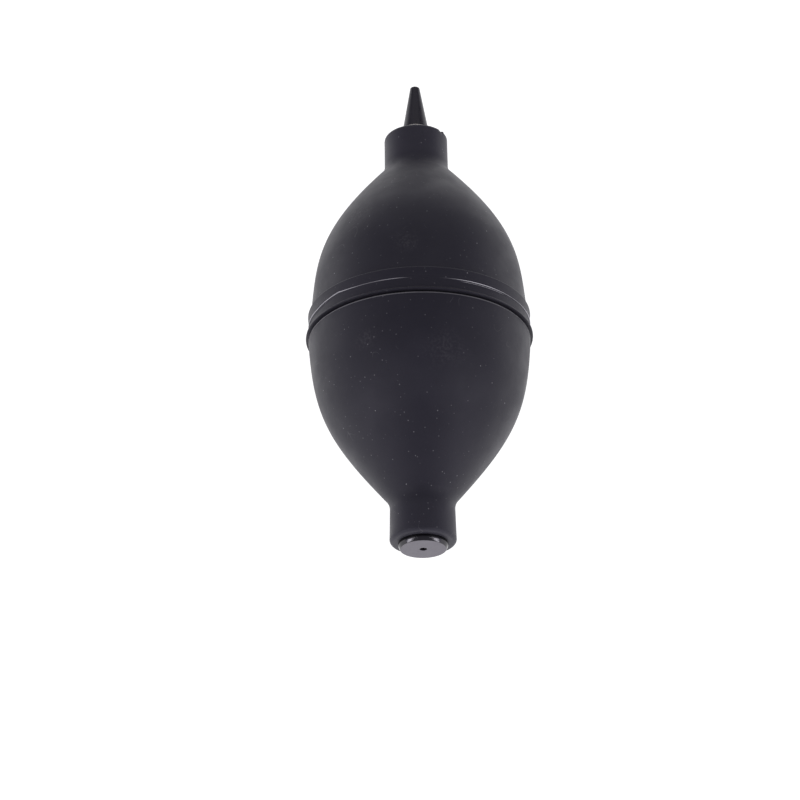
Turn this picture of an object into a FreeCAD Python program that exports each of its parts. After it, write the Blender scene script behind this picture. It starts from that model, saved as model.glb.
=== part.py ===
"""Hand-squeezed air blower for watch work, drawn as a parametric FreeCAD document in millimetres.

The blower is a hollow silicone bulb in two halves, lapped and bonded at a raised band, with a neck at each end.
A knurled, screwed nozzle stands in the front neck.  A one-way air inlet with a sprung ball sits in the tail neck.

Every piece is turned about one axis.  Its sketch lies in the XY plane of its own body: X is the radius and Y runs
along the axis, measured from the bulb's middle plane.  Front pieces point along +Y.  Tail pieces are drawn the
same way and then turned half a turn about Z, so that their +Y points at the tail.  The blower lies on its side:
the axis is level, and the band's lip touches the plane Z = 0 under the middle of the overall length.
"""

import FreeCAD, Part

import math
import os

import Sketcher
from FreeCAD import Rotation, Vector

SHEET = "dims"

# The driving dimensions, in millimetres unless the name says otherwise.
# Radii are measured from the axis, and places along it from the bulb's middle plane.
DIMENSIONS = {
    # Bulb, outside.
    "lip_radius": 30.15,
    "band_top_radius": 29.62,
    "band_radius": 29.3,
    "band_foot_radius": 29.2,
    "crown_radius": 28.85,
    "rear_crown_radius": 29.5,
    "rear_rim_reach": 1.6,
    "neck_radius": 8.62,
    "rear_neck_root_radius": 8.43,
    "rear_neck_radius": 8.76,
    "half_length": 59.85,
    "band_top": 5.2,
    "band_edge_round": 0.3,
    "band_ridge": 2.05,
    "flash_height": 0.16,
    "flash_width": 0.24,
    "lip_start": -0.5,
    "lip_edge": 1.5,
    "lip_thickness": 0.35,
    "neck_edge_round": 1.0,
    "shoulder_round": 5.35,
    "shoulder_run": 2.1,
    "front_corner": 49.0,
    "front_angle_deg": 41.6,
    "front_crown_handle": 15.15,
    "front_crown_lean": 1.61,
    "front_shoulder_handle": 27.36,
    "rear_corner": 48.6,
    "rear_angle_deg": 39.5,
    "rear_crown_handle": 19.2,
    "rear_crown_lean": 1.28,
    "rear_shoulder_handle": 25.34,
    # Bulb, inside.
    "wall": 2.5,
    "lap_radius": 28.1,
    "lap_gap": 0.05,
    "lap_end": 3.6,
    "lap_groove": 0.5,
    "bore_root": 4.93,
    "bore_mouth": 47.9,
    # Barbed sleeves that hold the metal pieces in the two necks.
    "barb_root": 4.9,
    "barb_tip": 5.6,
    "barb_fit": 0.03,
    "barb_pitch": 2.4,
    "barb_length": 1.7,
    "barb_start": 50.3,
    "sleeve_start": 48.9,
    "flange_start": 58.3,
    "socket_face": 59.45,
    # Nozzle socket, collar and tip.
    "thread_radius": 2.5,
    "thread_pitch": 0.8,
    "thread_depth": 0.42,
    "thread_fit": 0.06,
    "thread_start": 54.2,
    "socket_floor": 53.0,
    "socket_passage": 1.6,
    "collar_radius": 4.08,
    "collar_foot": 59.75,
    "collar_top": 62.45,
    "collar_chamfer": 0.25,
    "knurl_depth": 0.24,
    "knurl_count": 40,
    "ring_groove_inner": 2.62,
    "ring_groove_outer": 3.64,
    "ring_groove_top": 60.38,
    "ring_radius": 3.13,
    "ring_section": 0.45,
    "tip_seat_radius": 1.8,
    "tip_seat": 60.7,
    "tip_base_radius": 3.55,
    "tip_end_radius": 1.27,
    "tip_end": 75.95,
    "tip_edge_round": 0.35,
    "air_bore": 0.9,
    "outlet_bore": 0.6,
    "outlet_length": 6.0,
    # One-way air inlet in the tail neck.
    "cap_radius": 6.45,
    "cap_seat": 59.9,
    "cap_shoulder": 60.6,
    "cap_face_radius": 6.0,
    "cap_face": 61.55,
    "cap_edge_round": 0.3,
    "cap_plate": 1.4,
    "cap_spigot": 4.4,
    "cap_spigot_bore": 3.3,
    "cap_spigot_end": 57.0,
    "inlet_hole": 0.95,
    "cap_fit": 0.03,
    "sleeve_shelf": 56.9,
    "guide_bore": 2.35,
    "guide_end": 50.2,
    "retainer_bore": 3.4,
    "retainer_thickness": 0.9,
    "retainer_hole": 0.8,
    "port_radius": 0.5,
    "port_circle": 1.75,
    "port_count": 4,
    "snap_groove": 3.75,
    "snap_ring_width": 0.36,
    "snap_ring_bore": 2.75,
    "snap_ring_gap_deg": 50.0,
    "filter_thickness": 0.85,
    "seat_thickness": 1.7,
    "seat_hole": 1.2,
    "ball_radius": 2.0,
    "ball_gap": 0.02,
    "spring_radius": 1.3,
    "spring_wire": 0.14,
    "spring_turns": 4.5,
}


class Size:
    """A length that carries both its value and the sheet expression which gives that value."""

    def __init__(self, value, text):
        self.value = value
        self.text = text

    def __add__(self, other):
        other = as_size(other)
        return Size(self.value + other.value, f"({self.text} + {other.text})")

    def __sub__(self, other):
        other = as_size(other)
        return Size(self.value - other.value, f"({self.text} - {other.text})")

    def __mul__(self, other):
        other = as_size(other)
        return Size(self.value * other.value, f"({self.text} * {other.text})")

    def __neg__(self):
        return Size(-self.value, f"(-{self.text})")


def as_size(number):
    """A plain number as a Size that no cell drives."""
    if isinstance(number, Size):
        return number
    return Size(float(number), repr(float(number)))


def cosine(angle):
    """The cosine of an angle in degrees."""
    return Size(math.cos(math.radians(angle.value)), f"cos({angle.text} * 1 deg)")


def sine(angle):
    """The sine of an angle in degrees."""
    return Size(math.sin(math.radians(angle.value)), f"sin({angle.text} * 1 deg)")


class Dimensions:
    """The sheet's cells as Sizes, one attribute each."""

    def __init__(self, document):
        sheet = document.addObject("Spreadsheet::Sheet", SHEET)
        for row, (name, value) in enumerate(DIMENSIONS.items(), start=1):
            sheet.set(f"A{row}", name)
            sheet.set(f"B{row}", str(value))
            sheet.setAlias(f"B{row}", name)
            setattr(self, name, Size(value, f"{SHEET}.{name}"))


class Curve:
    """In an outline, makes the edge between its two neighbours a cubic curve with these two inner poles."""

    def __init__(self, first, second):
        self.poles = (first, second)


def new_body(document, label):
    """An empty body, named and labelled as the piece that it will be."""
    body = document.addObject("PartDesign::Body", label)
    body.Label = label
    return body


def new_sketch(body, name, plane="XY_Plane"):
    """A sketch on one of the body's own origin planes."""
    sketch = body.newObject("Sketcher::SketchObject", name)
    feature = [item for item in body.Origin.OriginFeatures if item.Role == plane][0]
    sketch.AttachmentSupport = [(feature, "")]
    sketch.MapMode = "FlatFace"
    return sketch


def constrain(sketch, kind, ends, length):
    """Adds a distance constraint and drives it from the sheet."""
    if length.value < 0:
        ends = ends[2:] + ends[:2]
        length = -length
    index = sketch.addConstraint(Sketcher.Constraint(kind, *ends, length.value))
    sketch.setExpression(f"Constraints[{index}]", length.text)


def place_point(sketch, geometry, position, radius, along):
    """Holds one sketch point at a radius and a place along the axis."""
    origin = (-1, 1)
    radius = as_size(radius)
    along = as_size(along)
    if abs(radius.value) < 1e-9:
        sketch.addConstraint(Sketcher.Constraint("PointOnObject", geometry, position, -2))
    else:
        constrain(sketch, "DistanceX", origin + (geometry, position), radius)
    if abs(along.value) < 1e-9:
        sketch.addConstraint(Sketcher.Constraint("PointOnObject", geometry, position, -1))
    else:
        constrain(sketch, "DistanceY", origin + (geometry, position), along)


def to_vector(point):
    """The present position of an outline point."""
    radius, along = point
    return Vector(as_size(radius).value, as_size(along).value, 0)


def draw_outline(sketch, outline):
    """Draws a closed outline of lines and cubic curves, with every vertex and pole held by the sheet."""
    corners = [item for item in outline if not isinstance(item, Curve)]
    curves = {}
    for index, item in enumerate(outline):
        if isinstance(item, Curve):
            curves[corners.index(outline[index - 1])] = item
    count = len(corners)
    for index, corner in enumerate(corners):
        start = to_vector(corner)
        end = to_vector(corners[(index + 1) % count])
        if index in curves:
            bezier = Part.BezierCurve()
            bezier.setPoles([start, *map(to_vector, curves[index].poles), end])
            sketch.addGeometry(bezier.toBSpline())
        else:
            sketch.addGeometry(Part.LineSegment(start, end))
    for index, corner in enumerate(corners):
        sketch.addConstraint(Sketcher.Constraint("Coincident", index - 1 if index else count - 1, 2, index, 1))
        place_point(sketch, index, 1, *corner)
    for index, curve in curves.items():
        first_pole = len(sketch.Geometry)
        sketch.exposeInternalGeometry(index)
        for offset, pole in enumerate(curve.poles, start=1):
            place_point(sketch, first_pole + offset, 3, *pole)


def turn(body, outline, angle=360.0, name="Turned"):
    """Revolves an outline about the body's Y axis."""
    sketch = new_sketch(body, name + "Outline")
    draw_outline(sketch, outline)
    feature = body.newObject("PartDesign::Revolution", name)
    feature.Profile = sketch
    feature.ReferenceAxis = (sketch, ["V_Axis"])
    angle = as_size(angle)
    feature.Angle = angle.value
    if angle.text != repr(angle.value):
        feature.setExpression("Angle", angle.text)
    return feature


def ring_edges(feature, places):
    """The names of the feature's circular edges at the given (radius, along) places."""
    found = []
    for radius, along in places:
        radius = as_size(radius).value
        along = as_size(along).value
        for number, edge in enumerate(feature.Shape.Edges, start=1):
            curve = edge.Curve
            if not isinstance(curve, Part.Circle):
                continue
            if abs(curve.Radius - radius) < 1e-4 and abs(curve.Center.y - along) < 1e-4:
                found.append(f"Edge{number}")
    if len(found) != len(places):
        raise RuntimeError(f"{feature.Label}: found {len(found)} of {len(places)} edges")
    return found


def round_edges(document, body, places, radius):
    """Rounds the circular edges at the given places."""
    document.recompute()
    base = body.Tip
    feature = body.newObject("PartDesign::Fillet", "Round")
    feature.Base = (base, ring_edges(base, places))
    feature.Radius = radius.value
    feature.setExpression("Radius", radius.text)
    return feature


def bevel_edges(document, body, places, size):
    """Bevels the circular edges at the given places."""
    document.recompute()
    base = body.Tip
    feature = body.newObject("PartDesign::Chamfer", "Bevel")
    feature.Base = (base, ring_edges(base, places))
    feature.Size = size.value
    feature.setExpression("Size", size.text)
    return feature


def cut_along_axis(body, sketch, name):
    """Cuts a sketch of the XZ plane through the whole body, both ways along the axis."""
    pocket = body.newObject("PartDesign::Pocket", name)
    pocket.Profile = sketch
    pocket.Type = "ThroughAll"
    pocket.SideType = "Symmetric"
    return pocket


def repeat_round_axis(body, feature, count):
    """Repeats a cut evenly round the axis and makes the pattern the body's tip."""
    pattern = body.newObject("PartDesign::PolarPattern", "Pattern")
    pattern.Originals = [feature]
    axis = [item for item in body.Origin.OriginFeatures if item.Role == "Y_Axis"][0]
    pattern.Axis = (axis, [""])
    pattern.Angle = 360.0
    pattern.Occurrences = int(count.value)
    pattern.setExpression("Occurrences", count.text)
    body.Tip = pattern
    return pattern


def barbs(dim, clearance=0.0):
    """The saw-tooth part of a sleeve, from the bulb outwards: three ramps that rise to a sharp step."""
    root = dim.barb_root + clearance
    tip = dim.barb_tip + clearance
    corners = []
    for number in range(3):
        foot = dim.barb_start + dim.barb_pitch * number
        step = foot + dim.barb_length
        corners += [(root, foot), (tip, step), (root, step)]
    return corners


class Dome:
    """One half's dome: a cubic curve from the crown to the shoulder, then a straight slope up to the neck."""

    def __init__(self, dim, half, neck):
        self.wall = dim.wall
        self.angle = getattr(dim, half + "_angle_deg")
        self.crown_handle = getattr(dim, half + "_crown_handle")
        self.crown_lean = getattr(dim, half + "_crown_lean")
        self.shoulder_handle = getattr(dim, half + "_shoulder_handle")
        corner = getattr(dim, half + "_corner")
        run = dim.shoulder_run
        self.corner = (neck, corner)
        self.shoulder = (neck + run * sine(self.angle), corner - run * cosine(self.angle))

    def inner_shoulder(self):
        """The inside of the wall under the shoulder."""
        radius, along = self.shoulder
        return radius - self.wall * cosine(self.angle), along - self.wall * sine(self.angle)

    def curve_down(self, shoulder, crown):
        """The curve from a shoulder to a crown, nearly level where it reaches the crown."""
        radius, along = shoulder
        handle = self.shoulder_handle
        leave = (radius + handle * sine(self.angle), along - handle * cosine(self.angle))
        return Curve(leave, self.crown_pole(crown))

    def curve_up(self, crown, shoulder):
        """The same curve walked from the crown to the shoulder."""
        down = self.curve_down(shoulder, crown)
        return Curve(down.poles[1], down.poles[0])

    def crown_pole(self, crown):
        """The curve's pole next to the crown."""
        radius, along = crown
        return radius - self.crown_lean, along + self.crown_handle


def sleeve_bore(dim):
    """The neck's inside, from the dome outwards: the rubber follows the sleeve's barbs and flange."""
    fit = dim.barb_fit
    return [
        (dim.bore_root, dim.bore_mouth),
        *barbs(dim, fit),
        (dim.bore_root, dim.flange_start - fit),
        (dim.barb_tip + fit, dim.flange_start - fit),
        (dim.barb_tip + fit, dim.half_length),
    ]


def make_front_bulb_half(document, dim):
    """The bulb's front half: neck, dome, and the band whose skirt laps over the rear half."""
    body = new_body(document, "front_bulb_half")
    dome = Dome(dim, "front", dim.neck_radius)
    crown = (dim.crown_radius, dim.band_top)
    inner_crown = (dim.lap_radius - dim.wall, dim.lap_end)
    inner_shoulder = dome.inner_shoulder()
    neck_edge = (dim.neck_radius, dim.half_length)
    band_edge = (dim.band_top_radius, dim.band_top)
    outline = [
        *sleeve_bore(dim),
        neck_edge,
        dome.corner,
        dome.shoulder,
        dome.curve_down(dome.shoulder, crown),
        crown,
        band_edge,
        (dim.band_radius, dim.band_ridge + dim.flash_width * 0.5),
        (dim.band_radius + dim.flash_height, dim.band_ridge),
        (dim.band_radius, dim.band_ridge - dim.flash_width * 0.5),
        (dim.band_foot_radius, dim.lip_start),
        (dim.lip_radius, dim.lip_thickness - dim.lip_edge),
        (dim.lip_radius, -dim.lip_edge),
        (dim.lap_radius, -dim.lip_edge),
        (dim.lap_radius, dim.lap_end),
        inner_crown,
        dome.curve_up(inner_crown, inner_shoulder),
        inner_shoulder,
    ]
    turn(body, outline)
    round_edges(document, body, [dome.corner], dim.shoulder_round)
    round_edges(document, body, [neck_edge], dim.neck_edge_round)
    round_edges(document, body, [band_edge], dim.band_edge_round)
    return body


def make_rear_bulb_half(document, dim):
    """The bulb's rear half: its rim slides up inside the band, and its neck swells over the air inlet."""
    body = new_body(document, "rear_bulb_half")
    dome = Dome(dim, "rear", dim.rear_neck_root_radius)
    foot = dim.lip_edge + dim.lap_groove
    crown = (dim.rear_crown_radius, foot)
    rim_radius = dim.lap_radius - dim.lap_gap
    rim_inner = dim.lap_radius - dim.wall
    rim_end = dim.lap_gap - dim.lap_end
    inner_crown = (dim.rear_crown_radius - dim.wall, foot + dim.rear_rim_reach)
    inner_shoulder = dome.inner_shoulder()
    neck_edge = (dim.rear_neck_radius, dim.half_length)
    outline = [
        *sleeve_bore(dim),
        neck_edge,
        dome.corner,
        dome.shoulder,
        dome.curve_down(dome.shoulder, crown),
        crown,
        (rim_radius, foot),
        (rim_radius, rim_end),
        (rim_inner, rim_end),
        (rim_inner, foot),
        inner_crown,
        dome.curve_up(inner_crown, inner_shoulder),
        inner_shoulder,
    ]
    turn(body, outline)
    round_edges(document, body, [dome.corner], dim.shoulder_round)
    round_edges(document, body, [neck_edge], dim.neck_edge_round)
    round_edges(document, body, [crown], dim.lip_thickness)
    return body


def sleeve_outside(dim, face):
    """A barbed sleeve's outside, from its inner end to the flange at its outer end."""
    return [
        (dim.barb_root, dim.sleeve_start),
        *barbs(dim),
        (dim.barb_root, dim.flange_start),
        (dim.barb_tip, dim.flange_start),
        (dim.barb_tip, face),
    ]


def make_nozzle_socket(document, dim):
    """The barbed metal sleeve in the front neck, with the hole that the nozzle screws into."""
    body = new_body(document, "nozzle_socket")
    hole = dim.thread_radius + dim.thread_fit
    outline = [
        *sleeve_outside(dim, dim.socket_face),
        (hole, dim.socket_face),
        (hole, dim.socket_floor),
        (dim.socket_passage, dim.socket_floor),
        (dim.socket_passage, dim.sleeve_start),
    ]
    turn(body, outline)
    bevel_edges(document, body, [(hole, dim.socket_face)], dim.collar_chamfer)
    return body


def make_knurled_collar(document, dim):
    """The nozzle's finger grip and threaded shank, with a seat for the tip and a groove for the seal."""
    body = new_body(document, "knurled_collar")
    rim_edges = [(dim.collar_radius, dim.collar_foot), (dim.collar_radius, dim.collar_top)]
    outline = [
        (dim.air_bore, dim.thread_start),
        (dim.thread_radius, dim.thread_start),
        (dim.thread_radius, dim.collar_foot),
        (dim.ring_groove_inner, dim.collar_foot),
        (dim.ring_groove_inner, dim.ring_groove_top),
        (dim.ring_groove_outer, dim.ring_groove_top),
        (dim.ring_groove_outer, dim.collar_foot),
        *rim_edges,
        (dim.tip_seat_radius, dim.collar_top),
        (dim.tip_seat_radius, dim.tip_seat),
        (dim.air_bore, dim.tip_seat),
    ]
    turn(body, outline)
    bevel_edges(document, body, rim_edges, dim.collar_chamfer)
    cut_thread(body, dim)
    cut_knurl(body, dim)
    return body


def cut_thread(body, dim):
    """Cuts a right-hand vee thread along the collar's shank."""
    sketch = new_sketch(body, "ThreadVee")
    outside = dim.thread_radius + dim.thread_fit
    start = dim.thread_start - dim.thread_pitch
    vee = [
        (outside, start),
        (outside, start + dim.thread_pitch * 0.9),
        (dim.thread_radius - dim.thread_depth, start + dim.thread_pitch * 0.45),
    ]
    draw_outline(sketch, vee)
    helix = body.newObject("PartDesign::SubtractiveHelix", "Thread")
    helix.Profile = sketch
    helix.ReferenceAxis = (sketch, ["V_Axis"])
    helix.Mode = "pitch-height-angle"
    height = dim.collar_foot - dim.thread_start - dim.thread_pitch * 0.6
    helix.Pitch = dim.thread_pitch.value
    helix.Height = height.value
    helix.setExpression("Pitch", dim.thread_pitch.text)
    helix.setExpression("Height", height.text)
    return helix


def cut_knurl(body, dim):
    """Cuts the straight knurl round the collar's rim, one vee repeated."""
    sketch = new_sketch(body, "KnurlVee", "XZ_Plane")
    outer = dim.collar_radius + dim.knurl_depth
    depth = dim.collar_radius - dim.knurl_depth
    half_width = dim.knurl_depth * 2
    draw_outline(sketch, [(depth, 0), (outer, half_width), (outer, -half_width)])
    groove = cut_along_axis(body, sketch, "KnurlGroove")
    repeat_round_axis(body, groove, dim.knurl_count)


def make_nozzle_seal(document, dim):
    """The small O-ring between the collar and the socket."""
    body = new_body(document, "nozzle_seal")
    sketch = new_sketch(body, "RingSection")
    middle = dim.socket_face + dim.ring_section
    centre = Vector(dim.ring_radius.value, middle.value, 0)
    sketch.addGeometry(Part.Circle(centre, Vector(0, 0, 1), dim.ring_section.value))
    place_point(sketch, 0, 3, dim.ring_radius, middle)
    index = sketch.addConstraint(Sketcher.Constraint("Radius", 0, dim.ring_section.value))
    sketch.setExpression(f"Constraints[{index}]", dim.ring_section.text)
    ring = body.newObject("PartDesign::Revolution", "Ring")
    ring.Profile = sketch
    ring.ReferenceAxis = (sketch, ["V_Axis"])
    ring.Angle = 360.0
    return body


def make_nozzle_tip(document, dim):
    """The tapered nozzle tip: its spigot is pressed into the collar, and its bore narrows to the outlet."""
    body = new_body(document, "nozzle_tip")
    spigot = dim.tip_seat_radius - dim.cap_fit
    outlet_start = dim.tip_end - dim.outlet_length
    tip_edge = (dim.tip_end_radius, dim.tip_end)
    outline = [
        (dim.air_bore, dim.tip_seat),
        (spigot, dim.tip_seat),
        (spigot, dim.collar_top),
        (dim.tip_base_radius, dim.collar_top),
        tip_edge,
        (dim.outlet_bore, dim.tip_end),
        (dim.outlet_bore, outlet_start),
        (dim.air_bore, outlet_start - dim.air_bore),
    ]
    turn(body, outline)
    round_edges(document, body, [tip_edge], dim.tip_edge_round)
    return body


def make_inlet_cap(document, dim):
    """The button at the tail: a plate with the air hole, a sloping shoulder and a spigot into the sleeve."""
    body = new_body(document, "inlet_cap")
    plate = dim.cap_face - dim.cap_plate
    shoulder = (dim.cap_radius, dim.cap_shoulder)
    face_edge = (dim.cap_face_radius, dim.cap_face)
    outline = [
        (dim.inlet_hole, plate),
        (dim.cap_spigot_bore, plate),
        (dim.cap_spigot_bore, dim.cap_spigot_end),
        (dim.cap_spigot, dim.cap_spigot_end),
        (dim.cap_spigot, dim.cap_seat),
        (dim.cap_radius, dim.cap_seat),
        shoulder,
        face_edge,
        (dim.inlet_hole, dim.cap_face),
    ]
    turn(body, outline)
    round_edges(document, body, [shoulder, face_edge], dim.cap_edge_round)
    return body


def make_valve_sleeve(document, dim):
    """The barbed sleeve in the tail neck, bored for the cap, the ball's guide and the spring retainer."""
    body = new_body(document, "valve_sleeve")
    counterbore = dim.cap_spigot + dim.cap_fit
    retainer_foot = dim.guide_end - dim.retainer_thickness
    groove_end = retainer_foot - dim.snap_ring_width
    outline = [
        *sleeve_outside(dim, dim.half_length),
        (counterbore, dim.half_length),
        (counterbore, dim.sleeve_shelf),
        (dim.guide_bore, dim.sleeve_shelf),
        (dim.guide_bore, dim.guide_end),
        (dim.retainer_bore, dim.guide_end),
        (dim.retainer_bore, retainer_foot),
        (dim.snap_groove, retainer_foot),
        (dim.snap_groove, groove_end),
        (dim.retainer_bore, groove_end),
        (dim.retainer_bore, dim.sleeve_start),
    ]
    turn(body, outline)
    return body


def seat_foot(dim):
    """The place along the axis of the valve seat's inner face, which the ball closes."""
    plate = dim.cap_face - dim.cap_plate
    return plate - dim.filter_thickness - dim.seat_thickness - dim.cap_fit * 2


def make_inlet_filter(document, dim):
    """The felt disc behind the air hole."""
    body = new_body(document, "inlet_filter")
    top = dim.cap_face - dim.cap_plate - dim.cap_fit
    radius = dim.cap_spigot_bore - dim.cap_fit
    foot = top - dim.filter_thickness
    turn(body, [(0, foot), (radius, foot), (radius, top), (0, top)])
    return body


def make_valve_seat(document, dim):
    """The plastic ring that holds the filter and that the ball closes."""
    body = new_body(document, "valve_seat")
    foot = seat_foot(dim)
    top = foot + dim.seat_thickness
    radius = dim.cap_spigot_bore - dim.cap_fit
    turn(body, [(dim.seat_hole, foot), (radius, foot), (radius, top), (dim.seat_hole, top)])
    return body


def ball_centre(dim):
    """The closed ball's centre: the ball rests on the rim of the seat's hole."""
    reach = math.sqrt(dim.ball_radius.value**2 - dim.seat_hole.value**2)
    text = f"sqrt({dim.ball_radius.text} ^ 2 - {dim.seat_hole.text} ^ 2)"
    return seat_foot(dim) - Size(reach, text) - dim.ball_gap


def make_inlet_ball(document, dim):
    """The ball that shuts the inlet while the bulb is squeezed."""
    body = new_body(document, "inlet_ball")
    ball = body.newObject("PartDesign::AdditiveSphere", "Ball")
    ball.Radius = dim.ball_radius.value
    ball.setExpression("Radius", dim.ball_radius.text)
    ball.setExpression("Placement.Base.y", ball_centre(dim).text)
    return body


def make_inlet_spring(document, dim):
    """The light coil spring between the ball and the retainer."""
    body = new_body(document, "inlet_spring")
    start = dim.guide_end + dim.spring_wire + dim.cap_fit
    reach = math.sqrt(dim.ball_radius.value**2 - dim.spring_radius.value**2)
    text = f"sqrt({dim.ball_radius.text} ^ 2 - {dim.spring_radius.text} ^ 2)"
    end = ball_centre(dim) - Size(reach, text) - dim.spring_wire - dim.cap_fit
    sketch = new_sketch(body, "WireSection")
    centre = Vector(dim.spring_radius.value, start.value, 0)
    sketch.addGeometry(Part.Circle(centre, Vector(0, 0, 1), dim.spring_wire.value))
    place_point(sketch, 0, 3, dim.spring_radius, start)
    index = sketch.addConstraint(Sketcher.Constraint("Radius", 0, dim.spring_wire.value))
    sketch.setExpression(f"Constraints[{index}]", dim.spring_wire.text)
    coil = body.newObject("PartDesign::AdditiveHelix", "Coil")
    coil.Profile = sketch
    coil.ReferenceAxis = (sketch, ["V_Axis"])
    coil.Mode = "height-turns-angle"
    height = end - start
    coil.Height = height.value
    coil.Turns = dim.spring_turns.value
    coil.setExpression("Height", height.text)
    coil.setExpression("Turns", dim.spring_turns.text)
    return body


def make_spring_retainer(document, dim):
    """The drilled disc that the spring pushes on."""
    body = new_body(document, "spring_retainer")
    radius = dim.retainer_bore - dim.cap_fit
    foot = dim.guide_end - dim.retainer_thickness
    top = dim.guide_end
    hole = dim.retainer_hole
    turn(body, [(hole, foot), (radius, foot), (radius, top), (hole, top)])
    sketch = new_sketch(body, "PortCircle", "XZ_Plane")
    centre = Vector(dim.port_circle.value, 0, 0)
    sketch.addGeometry(Part.Circle(centre, Vector(0, 0, 1), dim.port_radius.value))
    place_point(sketch, 0, 3, dim.port_circle, 0)
    index = sketch.addConstraint(Sketcher.Constraint("Radius", 0, dim.port_radius.value))
    sketch.setExpression(f"Constraints[{index}]", dim.port_radius.text)
    port = cut_along_axis(body, sketch, "Port")
    repeat_round_axis(body, port, dim.port_count)
    return body


def make_snap_ring(document, dim):
    """The open wire ring that keeps the retainer in the sleeve."""
    body = new_body(document, "snap_ring")
    top = dim.guide_end - dim.retainer_thickness - dim.cap_fit
    foot = top - dim.snap_ring_width + dim.cap_fit * 2
    outer = dim.snap_groove - dim.cap_fit
    inner = dim.snap_ring_bore
    outline = [(inner, foot), (outer, foot), (outer, top), (inner, top)]
    turn(body, outline, as_size(360.0) - dim.snap_ring_gap_deg)
    return body


def lay_down(body, dim, points_at_tail):
    """Puts a finished body on the blower's axis, level and one lip radius above the ground."""
    if points_at_tail:
        body.Placement.Rotation = Rotation(Vector(0, 0, 1), 180)
    middle = (dim.cap_face - dim.tip_end) * 0.5
    body.setExpression("Placement.Base.y", middle.text)
    body.setExpression("Placement.Base.z", dim.lip_radius.text)


FRONT_PIECES = [
    make_front_bulb_half,
    make_nozzle_socket,
    make_nozzle_seal,
    make_knurled_collar,
    make_nozzle_tip,
]

TAIL_PIECES = [
    make_rear_bulb_half,
    make_inlet_cap,
    make_valve_sleeve,
    make_inlet_filter,
    make_valve_seat,
    make_inlet_ball,
    make_inlet_spring,
    make_spring_retainer,
    make_snap_ring,
]


def check(document, bodies):
    """Stops if any object failed, or if any piece isn't valid closed solids."""
    for item in document.Objects:
        if "Invalid" in item.State or "Error" in item.State:
            raise RuntimeError(f"{item.Label} failed: {item.State}")
    for body in bodies:
        shape = body.Shape
        if shape.isNull() or not shape.isValid() or not shape.Solids:
            raise RuntimeError(f"{body.Label} has no valid shape")


def main():
    document = FreeCAD.newDocument("dust_blower")
    dim = Dimensions(document)
    document.recompute()
    bodies = []
    for makers, points_at_tail in ((FRONT_PIECES, False), (TAIL_PIECES, True)):
        for make in makers:
            body = make(document, dim)
            lay_down(body, dim, points_at_tail)
            bodies.append(body)
    document.recompute()
    check(document, bodies)
    os.makedirs("parts", exist_ok=True)
    for body in bodies:
        body.Shape.exportStep(os.path.join("parts", body.Label + ".step"))
        box = body.Shape.optimalBoundingBox(False, False)
        print(
            f"{body.Label}: {len(body.Shape.Solids)} solid, {body.Shape.Volume:.2f} mm3, "
            f"y {box.YMin:.2f} to {box.YMax:.2f}, z {box.ZMin:.2f} to {box.ZMax:.2f}"
        )


main()
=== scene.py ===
"""Looks for a hand-squeezed dust blower lying on its side on a white table, in metres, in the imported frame.

Each turned piece is a lathe mesh: an outline of (radius, place) pairs in millimetres, swept round the axis.
A place is measured along the axis from the bulb's middle plane, towards the nozzle or towards the tail.
"""

import math

import bpy
import numpy as np
from mathutils import Matrix, Vector


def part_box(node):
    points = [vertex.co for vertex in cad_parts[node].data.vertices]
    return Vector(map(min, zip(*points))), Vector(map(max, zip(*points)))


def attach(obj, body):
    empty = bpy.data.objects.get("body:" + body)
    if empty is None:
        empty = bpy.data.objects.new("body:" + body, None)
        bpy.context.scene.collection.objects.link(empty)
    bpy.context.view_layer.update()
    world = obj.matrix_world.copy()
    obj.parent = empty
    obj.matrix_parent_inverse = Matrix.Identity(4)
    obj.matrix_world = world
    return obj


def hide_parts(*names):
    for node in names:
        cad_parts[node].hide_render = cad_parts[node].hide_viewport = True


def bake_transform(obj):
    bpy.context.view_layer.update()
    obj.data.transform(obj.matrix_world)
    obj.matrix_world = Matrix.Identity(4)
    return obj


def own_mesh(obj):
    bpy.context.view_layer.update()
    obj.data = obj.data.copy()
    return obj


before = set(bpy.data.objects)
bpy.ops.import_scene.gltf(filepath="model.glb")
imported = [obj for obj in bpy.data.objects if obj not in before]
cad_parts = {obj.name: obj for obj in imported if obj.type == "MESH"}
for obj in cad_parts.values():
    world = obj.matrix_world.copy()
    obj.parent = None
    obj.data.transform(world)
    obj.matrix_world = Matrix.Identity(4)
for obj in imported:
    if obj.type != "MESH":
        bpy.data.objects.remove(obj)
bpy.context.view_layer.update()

MM = 0.001


def bodies_middle():
    """The axis height and the place of the bulb's middle plane along Y, in metres."""
    front_low, front_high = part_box("front_bulb_half")
    rear_low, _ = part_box("rear_bulb_half")
    return (front_low.z + front_high.z) / 2, (front_high.y + rear_low.y) / 2


AXIS_Z, MIDDLE_Y = bodies_middle()


# --------------------------------------------------------------------------------------------------
# Outlines, in millimetres


def bezier(p0, p1, p2, p3, count):
    """Points of a cubic curve, its ends included."""
    u = np.linspace(0.0, 1.0, count)[:, None]
    p0, p1, p2, p3 = (np.array(p, float) for p in (p0, p1, p2, p3))
    return (1 - u) ** 3 * p0 + 3 * u * (1 - u) ** 2 * p1 + 3 * u * u * (1 - u) * p2 + u**3 * p3


def is_rounded(corner):
    """Whether an outline's corner gives a rounding."""
    return len(corner) > 2 and corner[2] > 0


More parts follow.
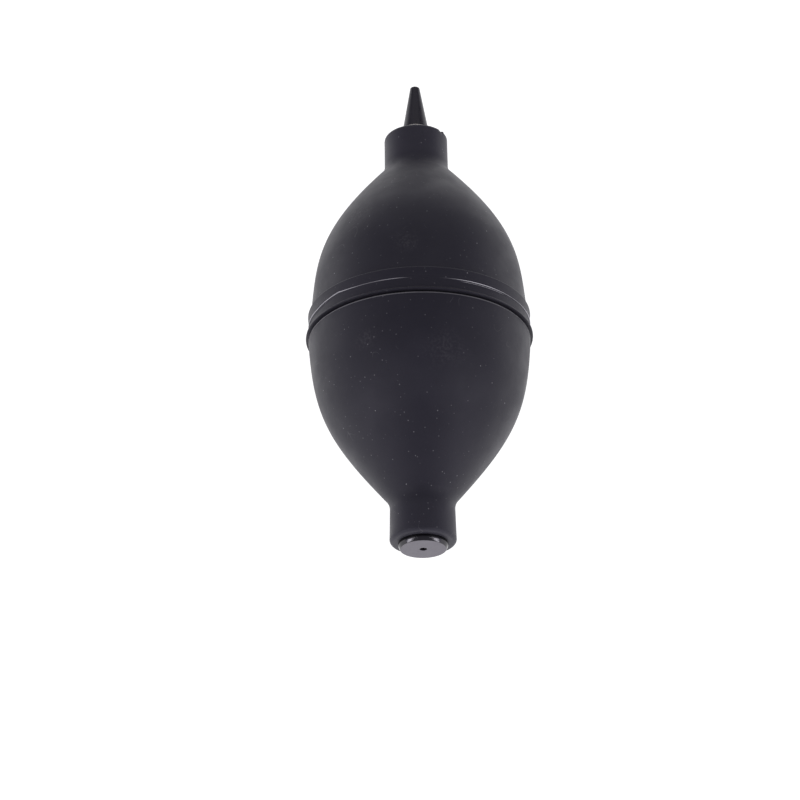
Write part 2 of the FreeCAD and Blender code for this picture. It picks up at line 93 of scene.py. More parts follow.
def rounded(corners, step=0.12):
    """A closed outline.  Each corner is (radius, place), or (radius, place, rounding) to round it."""
    points = []
    count = len(corners)
    for i, corner in enumerate(corners):
        here = np.array(corner[:2], float)
        if not is_rounded(corner):
            points.append(here)
            continue
        size = corner[2]
        before = np.array(corners[i - 1][:2], float)
        after = np.array(corners[(i + 1) % count][:2], float)
        a, b = before - here, after - here
        la, lb = np.linalg.norm(a), np.linalg.norm(b)
        a, b = a / la, b / lb
        half = math.acos(max(-1.0, min(1.0, float(a @ b)))) / 2
        reach = size / math.tan(half)
        spare = [0.49 if is_rounded(corners[j % count]) else 0.98 for j in (i - 1, i + 1)]
        limit = min(la * spare[0], lb * spare[1])
        if reach > limit:
            reach = limit
            size = reach * math.tan(half)
        centre = here + (a + b) / np.linalg.norm(a + b) * (size / math.sin(half))
        start, end = here + a * reach - centre, here + b * reach - centre
        turn = math.pi - 2 * half
        steps = max(4, int(turn * size / step) + 2)
        for k in range(steps + 1):
            f = k / steps
            w0, w1 = math.sin((1 - f) * turn) / math.sin(turn), math.sin(f * turn) / math.sin(turn)
            points.append(centre + start * w0 + end * w1)
    return np.array(points)


def filled(points, step):
    """The same closed outline with no stretch longer than step."""
    out = []
    count = len(points)
    for i in range(count):
        a, b = points[i], points[(i + 1) % count]
        pieces = max(1, int(math.ceil(np.linalg.norm(b - a) / step)))
        for k in range(pieces):
            out.append(a + (b - a) * k / pieces)
    return np.array(out)


def lathe(name, outline, side=1, segments=384, shape=None):
    """A closed mesh: the outline swept round the axis.

    side is 1 for places towards the nozzle and -1 for places towards the tail.
    shape(angle, radius, place) may move the points a little.
    """
    outline = np.array(outline, float)
    rows = len(outline)
    angle = np.linspace(0, 2 * math.pi, segments, endpoint=False)
    radius = np.repeat(outline[:, 0][:, None], segments, axis=1)
    place = np.repeat(outline[:, 1][:, None], segments, axis=1)
    turn = np.repeat(angle[None, :], rows, axis=0)
    if shape:
        radius, place = shape(turn, radius, place)
    x = radius * np.sin(turn) * MM
    z = radius * np.cos(turn) * MM + AXIS_Z
    y = side * place * MM + MIDDLE_Y
    co = np.stack([x, y, z], axis=-1).reshape(-1, 3)
    r0 = np.arange(rows)[:, None]
    c0 = np.arange(segments)[None, :]
    r1, c1 = (r0 + 1) % rows, (c0 + 1) % segments
    quads = np.stack(
        [r0 * segments + c0, r1 * segments + c0, r1 * segments + c1, r0 * segments + c1], axis=-1
    ).reshape(-1, 4)
    return solid(name, co, quads)


def coil(name, radius, wire, turns, foot, tip, around=14, steps_per_turn=56):
    """A coil spring round the axis, in metres.  wire is the wire's radius; foot and tip are its ends."""
    rings = int(turns * steps_per_turn) + 1
    turn = np.linspace(0, 2 * math.pi * turns, rings)
    slope = (tip - foot) / (2 * math.pi * turns)
    outward = np.stack([np.sin(turn), 0 * turn, np.cos(turn)], axis=-1)
    centre = outward * radius + np.array([0.0, foot, AXIS_Z])
    centre[:, 1] += slope * turn
    tangent = np.stack([radius * np.cos(turn), slope + 0 * turn, -radius * np.sin(turn)], axis=-1)
    tangent /= np.linalg.norm(tangent, axis=1)[:, None]
    sideways = np.cross(tangent, outward)
    angle = np.linspace(0, 2 * math.pi, around, endpoint=False)[None, :, None]
    co = centre[:, None] + wire * (np.cos(angle) * outward[:, None] + np.sin(angle) * sideways[:, None])
    row = np.arange(rings - 1)[:, None] * around
    here, after = np.arange(around)[None, :], (np.arange(around)[None, :] + 1) % around
    quads = np.stack([row + here, row + after, row + around + after, row + around + here], axis=-1)
    last = (rings - 1) * around
    caps = [list(range(around))[::-1], list(range(last, last + around))]
    return solid(name, co.reshape(-1, 3), quads.reshape(-1, 4), caps)


def solid(name, co, quads, caps=()):
    """A smooth piece made of these points and faces, turned the right way out."""
    mesh = bpy.data.meshes.new(name)
    mesh.from_pydata(co.tolist(), [], quads.tolist() + list(caps))
    mesh.update()
    piece = bpy.data.objects.new(name, mesh)
    bpy.context.scene.collection.objects.link(piece)
    if signed_volume(co - co.mean(axis=0), quads) < 0:
        mesh.flip_normals()
    mesh.polygons.foreach_set("use_smooth", [True] * len(mesh.polygons))
    mesh.update()
    return piece


def signed_volume(co, quads):
    """Six times the volume that the quads enclose; it is negative when they face inwards."""
    a, b, c, d = (co[quads[:, i]] for i in range(4))
    first = np.einsum("ij,ij->i", a, np.cross(b, c)).sum()
    return first + np.einsum("ij,ij->i", a, np.cross(c, d)).sum()


# The two halves.  The rear half's thin tongue slides up inside the lap of the front half's band.
WALL = 2.5
LAP, LAP_TOP = 28.1, 3.6
TONGUE_OUTSIDE, TONGUE_INSIDE, TONGUE_END = 28.05, 25.6, -3.55
CROWN, BAND_TOP = 28.85, 5.2
FLASH = 2.05
RIM_RADIUS, RIM_PLACE = 29.5, 2.0
# The necks.  Their insides follow the barbed sleeves.
FRONT_NECK, REAR_NECK_ROOT, REAR_NECK = 8.62, 8.43, 8.76
NECK_CORNER_ROUNDING = 5.35
NECK_RIM, NECK_FLOOR = 59.85, 47.9
SLEEVE_BORE, FLANGE_BORE, FLANGE_FOOT = 4.93, 5.63, 58.27
BARB_COUNT, BARB_FOOT, BARB_PITCH, BARB_LENGTH = 3, 50.3, 2.4, 1.7
# The tail button, with its spigot and its air hole, and the nozzle's tip.
CAP_RADIUS, CAP_BACK, CAP_FACE_RADIUS, CAP_FACE = 6.45, 59.9, 6.0, 61.55
SPIGOT_RADIUS, SPIGOT_BORE, SPIGOT_END, CAP_HOLE, CAP_FLOOR = 4.4, 3.3, 57.0, 0.95, 60.15
TIP_FOOT, TIP_END = 62.45, 75.95


def neck_inside():
    """The inside of a neck from its rim down: the sleeve's flange, the saw-tooth barbs and the floor."""
    barbs = []
    for k in range(BARB_COUNT):
        foot = BARB_FOOT + BARB_PITCH * k
        end = foot + BARB_LENGTH
        barbs += [(SLEEVE_BORE, foot), (FLANGE_BORE, end), (SLEEVE_BORE, end)]
    return [
        (FLANGE_BORE, NECK_RIM, 0.12),
        (FLANGE_BORE, FLANGE_FOOT),
        (SLEEVE_BORE, FLANGE_FOOT),
        *reversed(barbs),
        (SLEEVE_BORE, NECK_FLOOR),
    ]


class Dome:
    """A half's outside between its crown and its neck."""

    def __init__(self, crown, lean, crown_handle, neck, corner, degrees, handle):
        self.slope = np.array([math.sin(math.radians(degrees)), -math.cos(math.radians(degrees))])
        self.crown, self.lean, self.crown_handle = np.array(crown), lean, crown_handle
        self.corner, self.handle = np.array([neck, corner]), handle
        self.shoulder = self.corner + 2.1 * self.slope

    def curve(self, crown, shoulder, count):
        """The curve from a crown to a shoulder, walked upwards."""
        leave = np.array(crown) + np.array([-self.lean, self.crown_handle])
        return bezier(crown, leave, np.array(shoulder) + self.handle * self.slope, shoulder, count)

    def outside(self, count=110):
        """The outside, from the crown up to the neck's root."""
        return [tuple(p) for p in self.curve(self.crown, self.shoulder, count)]

    def inner_shoulder(self):
        """The point one wall's thickness inside the shoulder."""
        return self.shoulder + WALL * np.array([self.slope[1], -self.slope[0]])

    def inside(self, crown, count=36):
        """The inside, from a crown up to the inner shoulder."""
        return [tuple(p) for p in self.curve(crown, self.inner_shoulder(), count)]


FRONT = Dome((CROWN, BAND_TOP), 1.61, 15.15, FRONT_NECK, 49.0, 41.6, 27.36)
REAR = Dome((RIM_RADIUS, RIM_PLACE), 1.28, 19.2, REAR_NECK_ROOT, 48.6, 39.5, 25.34)


def smooth_step(x, low, high):
    """0 below low, 1 above high, and smooth between them."""
    f = np.clip((x - low) / (high - low), 0.0, 1.0)
    return f * f * (3 - 2 * f)


def near(x, middle, width):
    """A bump of height 1 and about that width."""
    return np.exp(-(((x - middle) / width) ** 2))


def waves(angle, seed, count=7, start=2):
    """A smooth, closed, random wave round the axis, between about -1 and 1."""
    rng = np.random.default_rng(seed)
    out = np.zeros_like(angle)
    for k in range(start, start + count):
        out += rng.normal() / math.sqrt(count) * np.sin(k * angle + rng.uniform(0, 2 * math.pi))
    return out


def wrap(angle):
    """An angle folded into -pi to pi."""
    return (angle + math.pi) % (2 * math.pi) - math.pi


def shape_front(angle, radius, place):
    """Mould flash on the band, a slightly uneven lip, a small nick in the neck's rim."""
    turn = wrap(angle)
    outer = radius > 28.9
    # The flash is a thin fin, worn away on top, doubled at the sides, with a kink left of the middle.
    worn = 1.0 - 0.93 * near(turn, 0.03, 0.19) ** 0.6
    height = np.clip(0.75 + 0.25 * waves(angle, 11, 9, 3), 0.35, 1.0) * worn
    kink_turn = [-1.6, -1.15, -0.79, -0.75, -0.6, 0.1, 1.6]
    kink_place = [-0.1, -0.35, 0.42, 0.22, 0.03, 0.0, 0.05]
    line = FLASH + 0.03 * waves(angle, 5, 5, 2) + np.interp(turn, kink_turn, kink_place)
    fin = near(place, line, 0.115) * height * 0.29
    left = smooth_step(-turn, 0.86, 1.0) * (1 - smooth_step(-turn, 1.7, 1.9))
    right = smooth_step(turn, 0.30, 0.42) * (1 - smooth_step(turn, 0.75, 0.95))
    second = near(place, line - 0.45, 0.08) * (0.14 * left + 0.21 * right)
    radius = radius + np.where(outer & (np.abs(place - FLASH) < 1.2), fin + second, 0.0)
    lip = outer & (place < -0.9)
    place = place + np.where(lip, 0.05 * waves(angle, 21, 6, 2), 0.0)
    # Nick in the neck's rim.
    rim = near(place, NECK_RIM, 0.7) * (radius > 6.6)
    nick = near(turn, 0.945, 0.06)
    radius = radius - 0.7 * nick * rim + 0.3 * near(turn, 1.05, 0.025) * rim
    place = place - 1.0 * nick * rim
    # Silicone necks are never quite round.
    neck = smooth_step(place, 50.0, 57.0) * (radius > 6.0)
    radius = radius + neck * 0.05 * np.sin(2 * angle + 0.7)
    return radius, place


def shape_rear(angle, radius, place):
    """The rear half is a little uneven, too."""
    neck = smooth_step(place, 50.0, 57.0) * (radius > 6.0)
    radius = radius + neck * 0.05 * np.sin(2 * angle + 2.0)
    edge = (radius > 28.6) * near(place, RIM_PLACE, 0.6)
    return radius - edge * (0.03 + 0.03 * waves(angle, 31, 6, 2)), place


def front_outline():
    """The front half: up the band, over the dome and the neck, and back down the inside."""
    band = filled(
        rounded(
            [
                (LAP, -1.5, 0.08),
                (30.15, -1.5, 0.1),
                (30.13, -1.15, 0.2),
                (29.2, -0.5, 0.4),
                (29.25, 0.6),
                (29.32, FLASH),
                (29.6, 5.18, 0.28),
                (CROWN, BAND_TOP),
                (28.0, BAND_TOP),
                (LAP, LAP_TOP),
            ],
            0.06,
        ),
        0.06,
    )
    # Only the outer run of the band is kept, up to the crown.
    stop = int(np.argmin(np.hypot(band[:, 0] - CROWN, band[:, 1] - BAND_TOP)))
    run = [tuple(p) for p in band[: stop + 1]]
    corners = [
        *FRONT.outside()[1:],
        (*FRONT.corner, NECK_CORNER_ROUNDING),
        *((FRONT_NECK, place) for place in (57.0, 57.8, 58.4)),
        (FRONT_NECK, NECK_RIM, 1.0),
        *neck_inside(),
        *reversed(FRONT.inside((LAP - WALL, LAP_TOP))),
        (LAP, LAP_TOP),
    ]
    return run + [tuple(p) for p in rounded(corners)]


def rear_outline():
    """The rear half: over the rim, the dome and the neck, down the inside, and round the tongue."""
    corners = [
        (TONGUE_OUTSIDE, RIM_PLACE, 0.1),
        (RIM_RADIUS, RIM_PLACE, 0.3),
        *REAR.outside()[2:],
        (*REAR.corner, NECK_CORNER_ROUNDING),
        (REAR_NECK, NECK_RIM, 1.0),
        *neck_inside(),
        *reversed(REAR.inside((27.0, 3.6))),
        (TONGUE_INSIDE, RIM_PLACE),
        (TONGUE_INSIDE, TONGUE_END, 0.2),
        (TONGUE_OUTSIDE, TONGUE_END, 0.2),
    ]
    return rounded(corners)


# --------------------------------------------------------------------------------------------------
# Materials


class Nodes:
    """Short names for building a material's node tree."""

    def __init__(self, name):
        self.material = bpy.data.materials.new(name)
        self.material.use_nodes = True
        self.tree = self.material.node_tree
        self.shader = self.tree.nodes["Principled BSDF"]
        self.coords = self.tree.nodes.new("ShaderNodeTexCoord").outputs["Object"]

    def link(self, source, target):
        self.tree.links.new(source, target)

    def set(self, **values):
        """Sets numbers and colours on the shader's own sockets."""
        for key, value in values.items():
            self.shader.inputs[key.replace("_", " ")].default_value = value
        return self

    def scaled(self, scale):
        """The object's coordinates times a scale, which is one number or three."""
        node = self.tree.nodes.new("ShaderNodeMapping")
        node.inputs["Scale"].default_value = (scale,) * 3 if isinstance(scale, (int, float)) else scale
        self.link(self.coords, node.inputs["Vector"])
        return node.outputs["Vector"]

    def noise(self, scale, detail=3.0, roughness=0.5, vector=None, distortion=0.0):
        """A smooth random value from 0 to 1, mostly near the middle."""
        node = self.tree.nodes.new("ShaderNodeTexNoise")
        node.inputs["Scale"].default_value = scale
        node.inputs["Detail"].default_value = detail
        node.inputs["Roughness"].default_value = roughness
        node.inputs["Distortion"].default_value = distortion
        self.link(vector or self.coords, node.inputs["Vector"])
        return node.outputs["Fac"]

    def specks(self, scale, low, high, share):
        """Round specks near the middle of some cells.  share is the part of the cells that stays empty."""
        cells = self.tree.nodes.new("ShaderNodeTexVoronoi")
        cells.inputs["Scale"].default_value = scale
        self.link(self.coords, cells.inputs["Vector"])
        chance = self.ramp(cells.outputs["Color"], share, 0.95, 0.0, 1.0)
        return self.math("MULTIPLY", self.ramp(cells.outputs["Distance"], low, high, 1.0, 0.0), chance)

    def axis_distance(self):
        """The distance from the axis and the place along it from the bulb's middle, in millimetres."""
        split = self.tree.nodes.new("ShaderNodeSeparateXYZ")
        self.link(self.coords, split.inputs[0])
        up = self.math("SUBTRACT", split.outputs["Z"], AXIS_Z)
        squares = self.math("ADD", self.math("POWER", split.outputs["X"], 2.0), self.math("POWER", up, 2.0))
        along = self.math("SUBTRACT", split.outputs["Y"], MIDDLE_Y)
        across = self.math("MULTIPLY", self.math("SQRT", squares), 1000.0)
        return across, self.math("MULTIPLY", along, 1000.0)

    def spot(self, x, place, size):
        """0.8 near a place on top of the bulb, fading to 0 over a ragged edge.  All in millimetres."""
        top = 24.0
        squash = 0.3
        centre = (x * MM, MIDDLE_Y + place * MM, (AXIS_Z + top * MM) * squash)
        node = self.tree.nodes.new("ShaderNodeVectorMath")
        node.operation = "DISTANCE"
        self.link(self.scaled((1.0, 1.0, squash)), node.inputs[0])
        node.inputs[1].default_value = centre
        ragged = self.math("MULTIPLY", self.noise(130.0, 2.0, 0.5), size * 1.2 * MM)
        reach = self.math("ADD", node.outputs["Value"], ragged)
        return self.ramp(reach, size * 0.3 * MM, size * 2.2 * MM, 0.8, 0.0)

    def window(self, value, middle, half_width):
        """1 where value is within half_width of middle, 0 beyond it, with soft ends."""
        off = self.math("ABSOLUTE", self.math("SUBTRACT", value, middle))
        return self.ramp(off, half_width * 0.7, half_width, 1.0, 0.0)

    def ramp(self, value, low, high, out_low=0.0, out_high=1.0):
        """value mapped from low..high to out_low..out_high, smoothly, and held beyond them."""
        node = self.tree.nodes.new("ShaderNodeMapRange")
        node.interpolation_type = "SMOOTHSTEP"
        for key, number in (("From Min", low), ("From Max", high), ("To Min", out_low), ("To Max", out_high)):
            node.inputs[key].default_value = number
        self.link(value, node.inputs["Value"])
        return node.outputs["Result"]

    def math(self, operation, a, b=None):
        """One sum on one or two values, each a number or a socket."""
        node = self.tree.nodes.new("ShaderNodeMath")
        node.operation = operation
        for socket, value in zip(node.inputs, (a, b)):
            if value is None:
                continue
            if isinstance(value, (int, float)):
                socket.default_value = value
            else:
                self.link(value, socket)
        return node.outputs[0]

    def mix(self, factor, a, b):
        """Colour a where factor is 0, and b where it is 1."""
        node = self.tree.nodes.new("ShaderNodeMix")
        node.data_type = "RGBA"
        self.link(factor, node.inputs["Factor"])
        for socket, value in ((node.inputs[6], a), (node.inputs[7], b)):
            if isinstance(value, tuple):
                socket.default_value = (*value, 1.0)
            else:
                self.link(value, socket)
        return node.outputs[2]

    def bump(self, height, distance, strength=1.0, normal=None):
        """A normal tilted by a height, on top of another bump's normal if one is given."""
        node = self.tree.nodes.new("ShaderNodeBump")
        node.inputs["Strength"].default_value = strength
        node.inputs["Distance"].default_value = distance
        self.link(height, node.inputs["Height"])
        if normal:
            self.link(normal, node.inputs["Normal"])
        return node.outputs["Normal"]


# The silicone's colour under a thin, even film of dust.
HAZE = (0.046, 0.044, 0.058)


def rubber_material():
    """Black satin silicone with a fine moulded grain, dust, faint scuffs and painted highlights on its thin
    edges.
    """
    n = Nodes("black_silicone")
    n.set(Metallic=0.0, IOR=1.42, Sheen_Weight=0.05, Sheen_Roughness=0.4)
    n.shader.inputs["Specular IOR Level"].default_value = 0.38
    n.shader.inputs["Specular Tint"].default_value = (1.0, 0.965, 1.06, 1.0)
    n.shader.inputs["Sheen Tint"].default_value = (1.0, 0.97, 0.98, 1.0)
    cloud_edge = n.noise(38.0, 4.0, 0.55)
    base = n.mix(n.ramp(cloud_edge, 0.3, 0.7), (0.0155, 0.0147, 0.0225), (0.0215, 0.0205, 0.0290))
    # Smudges where the bulb has been handled, made of very fine dust.
    cloud = n.ramp(n.noise(48.0, 5.0, 0.65, distortion=0.8), 0.55, 0.74, 0.0, 0.5)
    for x, place, size in ((-14.0, -13.0, 2.6), (5.5, -17.5, 4.8), (-17.0, 27.0, 4.2), (-3.0, 13.0, 3.2)):
        cloud = n.math("MAXIMUM", cloud, n.spot(x, place, size))
    fine = n.ramp(n.noise(1500.0, 3.0, 0.7), 0.42, 0.66)
    base = n.mix(n.math("MULTIPLY", n.math("MULTIPLY", cloud, fine), 0.5), base, (0.090, 0.087, 0.094))
    # A broad, even haze on the rear half's top, and paler necks, where fingers hold it.
    across, along = n.axis_distance()
    base = n.mix(n.math("MULTIPLY", n.spot(1.0, -19.0, 11.0), 0.40), base, HAZE)
    neck = n.ramp(n.math("ABSOLUTE", along), 48.0, 53.0, 0.0, 0.42)
    base = n.mix(neck, base, HAZE)
    # Short hair scratches: thin level lines of a noise, kept only in small patches.
    level = n.math("ABSOLUTE", n.math("SUBTRACT", n.noise(150.0, 1.0, 0.5), 0.5))
    kept = n.ramp(n.noise(110.0, 1.0, 0.5, n.scaled((1.0, 1.3, 0.8))), 0.64, 0.67)
    scratch = n.math("MULTIPLY", n.ramp(level, 0.0, 0.006, 1.0, 0.0), kept)
    base = n.mix(n.math("MULTIPLY", scratch, 0.26), base, (0.16, 0.155, 0.16))
    # Dust specks in two sizes, each with its own brightness.
    big = n.specks(370.0, 0.024, 0.082, 0.42)
    small = n.math("MULTIPLY", n.specks(640.0, 0.05, 0.15, 0.15), 0.55)
    patch = n.ramp(n.noise(34.0, 2.0), 0.38, 0.60, 0.25, 1.0)
    dust = n.math("MAXIMUM", big, n.math("MULTIPLY", small, patch))
    base = n.mix(n.math("MULTIPLY", dust, 0.72), base, (0.40, 0.39, 0.40))
    # Painted highlights on thin edges, with a little dust: the flash, the band's upper edge and the rear
    # half's rim are painted paler, as if catching the light.
    # The flash: a bright painted highlight line, with some dust.
    flash = n.math("MULTIPLY", n.ramp(across, 29.37, 29.58), n.window(along, FLASH, 0.85))
    base = n.mix(flash, base, (0.78, 0.76, 0.80))
    # The band's upper edge: a faint painted highlight.
    edge = n.math("MULTIPLY", n.ramp(across, 29.46, 29.60), n.window(along, 5.1, 0.22))
    base = n.mix(n.math("MULTIPLY", edge, 0.5), base, (0.070, 0.068, 0.075))
    # The rear half's rim: a painted highlight line, broken up by the cloudy noise.
    rim = n.math("MULTIPLY", n.ramp(across, 29.12, 29.32), n.window(along, -2.22, 0.26))
    rim = n.math("MULTIPLY", rim, n.ramp(cloud_edge, 0.35, 0.65, 0.45, 1.0))
    base = n.mix(rim, base, (0.19, 0.186, 0.197))
    n.link(base, n.shader.inputs["Base Color"])
    rough = n.ramp(n.noise(120.0, 4.0, 0.6), 0.3, 0.7, 0.44, 0.54)
    rough = n.math("ADD", rough, n.math("MULTIPLY", dust, 0.3))
    n.link(rough, n.shader.inputs["Roughness"])
    grain = n.bump(n.noise(5200.0, 2.0, 0.5), 0.00002, 0.3)
    ripple = n.bump(n.noise(300.0, 3.0, 0.5), 0.00006, 0.3, grain)
    n.link(n.bump(dust, 0.00006, 0.6, ripple), n.shader.inputs["Normal"])
    return n.material


def turned_metal(name, colour, roughness, metallic=1.0, rings=2600.0, ring_depth=0.000002):
    """Metal off a lathe, with fine rings along the axis and patchy gloss."""
    n = Nodes(name)
    n.set(Metallic=metallic)
    flat = n.scaled((0.03, 1.0, 0.03))
    lines = n.noise(rings, 3.0, 0.6, flat)
    patch = n.noise(260.0, 4.0, 0.6)
    base = n.mix(n.ramp(patch, 0.3, 0.7), colour, tuple(c * 1.25 for c in colour))
    n.link(base, n.shader.inputs["Base Color"])
    gloss = n.ramp(patch, 0.3, 0.7, roughness * 0.85, roughness * 1.15)
    n.link(n.math("ADD", gloss, n.ramp(lines, 0.4, 0.6, 0.0, 0.06)), n.shader.inputs["Roughness"])
    n.link(n.bump(lines, ring_depth, 0.5), n.shader.inputs["Normal"])
    return n.material


def cap_material():
    """The black anodised tail button: a satin, finely turned face and a bright rounded shoulder."""
    n = Nodes("black_button")
    n.set(Metallic=1.0)
    across, _ = n.axis_distance()
    face = n.ramp(across, 5.88, 5.95, 1.0, 0.0)
    rings = n.tree.nodes.new("ShaderNodeTexNoise")
    rings.noise_dimensions = "1D"
    rings.inputs["Scale"].default_value = 9.0
    rings.inputs["Detail"].default_value = 3.0
    n.link(across, rings.inputs["W"])
    patch = n.noise(420.0, 4.0, 0.6)
    satin = n.mix(n.ramp(patch, 0.3, 0.7), (0.135, 0.125, 0.15), (0.165, 0.155, 0.18))
    base = n.mix(face, (0.060, 0.058, 0.064), satin)
    n.link(base, n.shader.inputs["Base Color"])
    rough = n.math("ADD", n.ramp(face, 0.0, 1.0, 0.10, 0.38), n.ramp(patch, 0.3, 0.7, -0.02, 0.04))
    n.link(rough, n.shader.inputs["Roughness"])
    n.link(n.bump(n.math("MULTIPLY", rings.outputs["Fac"], face), 0.000003, 0.6), n.shader.inputs["Normal"])
    return n.material


def soft_material(name, colour, roughness, scale, depth):
    """Felt, plastic or a seal: one colour broken up by a grain of the given scale and depth."""
    n = Nodes(name)
    grain = n.noise(scale, 4.0, 0.7)
    dark, light = (tuple(c * share for c in colour) for share in (0.75, 1.2))
    n.link(n.mix(n.ramp(grain, 0.3, 0.7), dark, light), n.shader.inputs["Base Color"])
    n.link(n.ramp(grain, 0.3, 0.7, roughness * 0.9, min(1.0, roughness * 1.1)), n.shader.inputs["Roughness"])
    n.link(n.bump(grain, depth, 0.8), n.shader.inputs["Normal"])
    return n.material


def paint(piece, material):
    """Gives a piece this one material and no other."""
    piece.data.materials.clear()
    piece.data.materials.append(material)


# --------------------------------------------------------------------------------------------------
# The pieces


def lay(piece, body, node, material):
    """Puts a new piece in place of a CAD node on a rigid body."""
    paint(piece, material)
    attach(piece, body)
    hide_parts(node)
    return piece


def make_bulb(material):
    """Both halves.  The front one is rigid and goes on the bulb's body.  The rear one is the part that gets
    squeezed, between the bulb and the tail; here it is built in place and put on no body.
    """
    front = lathe("bulb_front_shell", front_outline(), 1, 512, shape_front)
    lay(front, "bulb", "front_bulb_half", material)
    rear = lathe("bulb_rear_shell", filled(rear_outline(), 0.8), -1, 512, shape_rear)
    paint(rear, material)
    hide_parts("rear_bulb_half")
    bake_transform(rear)


def make_tip(material):
    """The nozzle's cone, with its root in the collar and an air bore that narrows on the way."""
    outline = rounded(
        [
            (0.9, 60.7),
            (1.77, 60.7, 0.1),
            (1.77, TIP_FOOT),
            (3.55, TIP_FOOT, 0.08),
            (1.27, TIP_END, 0.36),
            (0.6, TIP_END, 0.08),
            (0.6, 69.95),
            (0.9, 69.05),
        ],
        0.03,
    )
    tip = lathe("nozzle_cone", filled(outline, 0.5), 1, 192)
    lay(tip, "nozzle", "nozzle_tip", material)


def make_cap(material):
    """The tail button: a flat face with the air hole, a rounded shoulder and a hollow spigot."""
    outline = rounded(
        [
            (CAP_HOLE, CAP_FLOOR),
            (SPIGOT_BORE, CAP_FLOOR),
            (SPIGOT_BORE, SPIGOT_END),
            (SPIGOT_RADIUS, SPIGOT_END, 0.1),
            (SPIGOT_RADIUS, CAP_BACK),
            (CAP_RADIUS, CAP_BACK, 0.06),
            (CAP_RADIUS, 60.7, 0.6),
            (CAP_FACE_RADIUS, CAP_FACE, 0.12),
            (CAP_HOLE, CAP_FACE, 0.1),
        ],
        0.02,
    )
    cap = lathe("tail_button", filled(outline, 0.35), -1, 320)
    lay(cap, "tail_valve", "inlet_cap", material)


def make_spring(material):
    """The valve's coil spring, built at the CAD spring's length.  The real spring shortens towards the
    retainer as the ball lifts.
    """
    low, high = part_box("inlet_spring")
    wire = 0.14 * MM
    slack = 0.03 * MM
    radius = (high.x - low.x) / 2 - wire
    spring = coil("valve_coil", radius, wire, 4.5, high.y - wire, low.y + wire + slack)
    lay(spring, "tail_valve", "inlet_spring", material)
    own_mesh(spring)


def paint_cad_nodes(steel):
    """The pieces whose CAD shape is already right get their materials here."""
    nickel = turned_metal("nickel_plate", (0.62, 0.59, 0.55), 0.22, rings=1800.0)
    sleeve = turned_metal("turned_aluminium", (0.60, 0.60, 0.62), 0.30)
    ball = turned_metal("ball_steel", (0.70, 0.70, 0.71), 0.06, ring_depth=0.0000005)
    seal = soft_material("black_nitrile", (0.018, 0.018, 0.018), 0.4, 3000.0, 0.000003)
    felt = soft_material("grey_felt", (0.02, 0.02, 0.02), 1.0, 6000.0, 0.00008)
    acetal = soft_material("natural_acetal", (0.70, 0.69, 0.65), 0.4, 2500.0, 0.000004)
    chosen = {
        "knurled_collar": nickel,
        "nozzle_socket": sleeve,
        "valve_sleeve": sleeve,
        "nozzle_seal": seal,
        "inlet_filter": felt,
        "valve_seat": acetal,
        "inlet_ball": ball,
        "spring_retainer": steel,
        "snap_ring": steel,
    }
    for node, material in chosen.items():
        paint(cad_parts[node], material)


# --------------------------------------------------------------------------------------------------
# Table, light and camera


def make_floor():
    """A plain white light table, a hair under the blower."""
    mesh = bpy.data.meshes.new("table_top")
    half = 3.0
    level = -0.00005
    corners = [(x * half, y * half, level) for x, y in ((-1, -1), (1, -1), (1, 1), (-1, 1))]
    mesh.from_pydata(corners, [], [(0, 1, 2, 3)])
    floor = bpy.data.objects.new("table_top", mesh)
    bpy.context.scene.collection.objects.link(floor)
    n = Nodes("white_table")
    n.set(Roughness=0.9)
    n.shader.inputs["Specular IOR Level"].default_value = 0.1
    n.link(n.mix(n.noise(40.0, 3.0), (0.30, 0.30, 0.30), (0.34, 0.34, 0.34)), n.shader.inputs["Base Color"])
    n.set(Emission_Color=(1.0, 1.0, 1.0, 1.0), Emission_Strength=1.0)
    paint(floor, n.material)


def area_light(name, place, size, power, along=(1.0, 0.0, 0.0)):
    """A soft oblong lamp at place, in metres, that faces the blower.  along is its long side's direction."""
    data = bpy.data.lights.new(name, "AREA")
    data.shape = "RECTANGLE"
    data.size, data.size_y = size
    data.energy = power
    back = Vector(place).normalized()
    side = (Vector(along) - back * back.dot(Vector(along))).normalized()
    lamp = bpy.data.objects.new(name, data)
    turn = Matrix((side, back.cross(side), back)).transposed()
    lamp.matrix_world = Matrix.Translation(place) @ turn.to_4x4()
    bpy.context.scene.collection.objects.link(lamp)


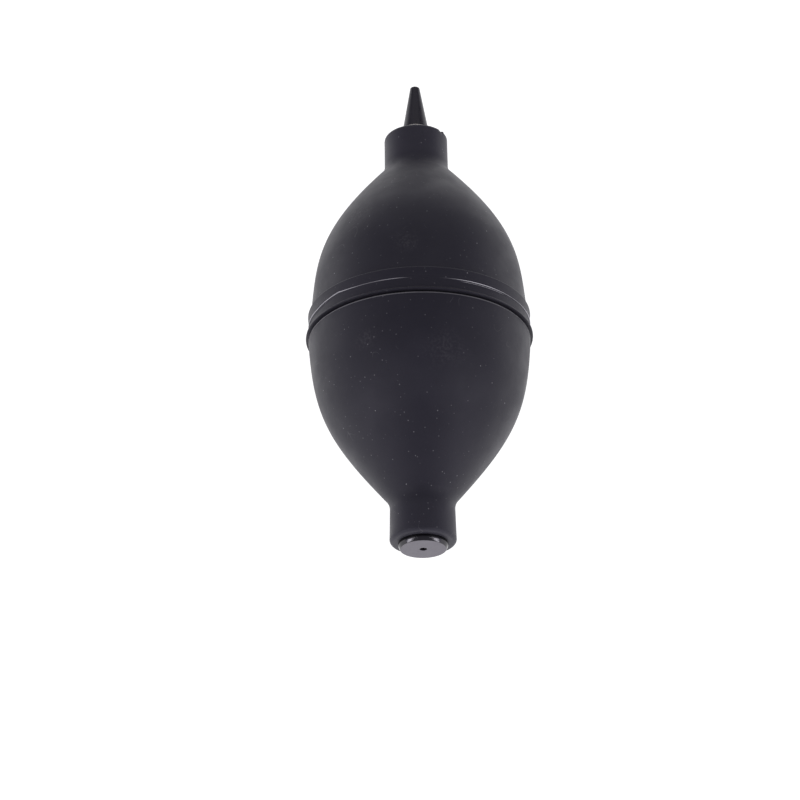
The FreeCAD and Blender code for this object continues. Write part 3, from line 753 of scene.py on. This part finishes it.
def make_light():
    """A sky that is dim overhead and brighter below, weak softboxes, and two strips beside the tail."""
    world = bpy.data.worlds.new("studio")
    world.use_nodes = True
    tree = world.node_tree
    background = tree.nodes["Background"]
    coords = tree.nodes.new("ShaderNodeTexCoord")
    split = tree.nodes.new("ShaderNodeSeparateXYZ")
    tree.links.new(coords.outputs["Generated"], split.inputs[0])
    fade = tree.nodes.new("ShaderNodeValToRGB")
    fade.color_ramp.interpolation = "EASE"
    stops = [(0.0, 0.80), (0.20, 0.56), (0.50, 0.30), (0.80, 0.26), (1.0, 0.27)]
    for _ in stops[2:]:
        fade.color_ramp.elements.new(0.5)
    for element, (place, value) in zip(fade.color_ramp.elements, stops):
        element.position = place
        element.color = (value * 0.98, value * 0.96, value * 1.10, 1.0)
    tree.links.new(split.outputs["Z"], fade.inputs["Fac"])
    tree.links.new(fade.outputs["Color"], background.inputs["Color"])
    # The side that the nozzle points to is dimmer than the tail's.
    lean = tree.nodes.new("ShaderNodeMapRange")
    for key, number in (("From Min", -0.8), ("From Max", 0.8), ("To Min", 1.35), ("To Max", 0.60)):
        lean.inputs[key].default_value = number
    tree.links.new(split.outputs["Y"], lean.inputs["Value"])
    tree.links.new(lean.outputs["Result"], background.inputs["Strength"])
    bpy.context.scene.world = world
    area_light("back_softbox", (0.0, 1.1, 0.9), (1.6, 0.8), 2.0)
    area_light("left_softbox", (-1.2, -0.1, 0.9), (1.4, 0.9), 1.5, (0.0, 1.0, 0.0))
    area_light("right_softbox", (1.2, -0.1, 0.9), (1.4, 0.9), 1.5, (0.0, 1.0, 0.0))
    area_light("left_strip", (-1.1, -0.7, 0.77), (1.5, 0.10), 2.9, (0.57, 0.0, 0.82))
    area_light("right_strip", (1.1, -0.7, 0.77), (1.5, 0.10), 2.9, (0.57, 0.0, -0.82))


def make_camera():
    """A long lens, high above the tail end, looking down at about 65 degrees."""
    data = bpy.data.cameras.new("camera")
    data.lens = 139.5
    data.sensor_width = 36.0
    data.clip_start, data.clip_end = 0.01, 20.0
    camera = bpy.data.objects.new("camera", data)
    forward = Vector((0.00592, 0.4258, -0.9048)).normalized()
    right = Vector((0.9999, -0.0139, 0.0)).normalized()
    up = right.cross(forward).normalized()
    right = forward.cross(up)
    turn = Matrix((right, up, -forward)).transposed()
    camera.matrix_world = Matrix.Translation(Vector((-0.01024, -0.3734, 0.76785))) @ turn.to_4x4()
    bpy.context.scene.collection.objects.link(camera)
    bpy.context.scene.camera = camera


make_bulb(rubber_material())
make_tip(turned_metal("black_anodised_tip", (0.0165, 0.0147, 0.0215), 0.29, metallic=0.45, rings=2200.0))
make_cap(cap_material())
drawn_steel = turned_metal("drawn_steel", (0.50, 0.50, 0.52), 0.25)
make_spring(drawn_steel)
paint_cad_nodes(drawn_steel)
make_floor()
make_light()
make_camera()
bpy.context.scene.view_settings.view_transform = "Standard"
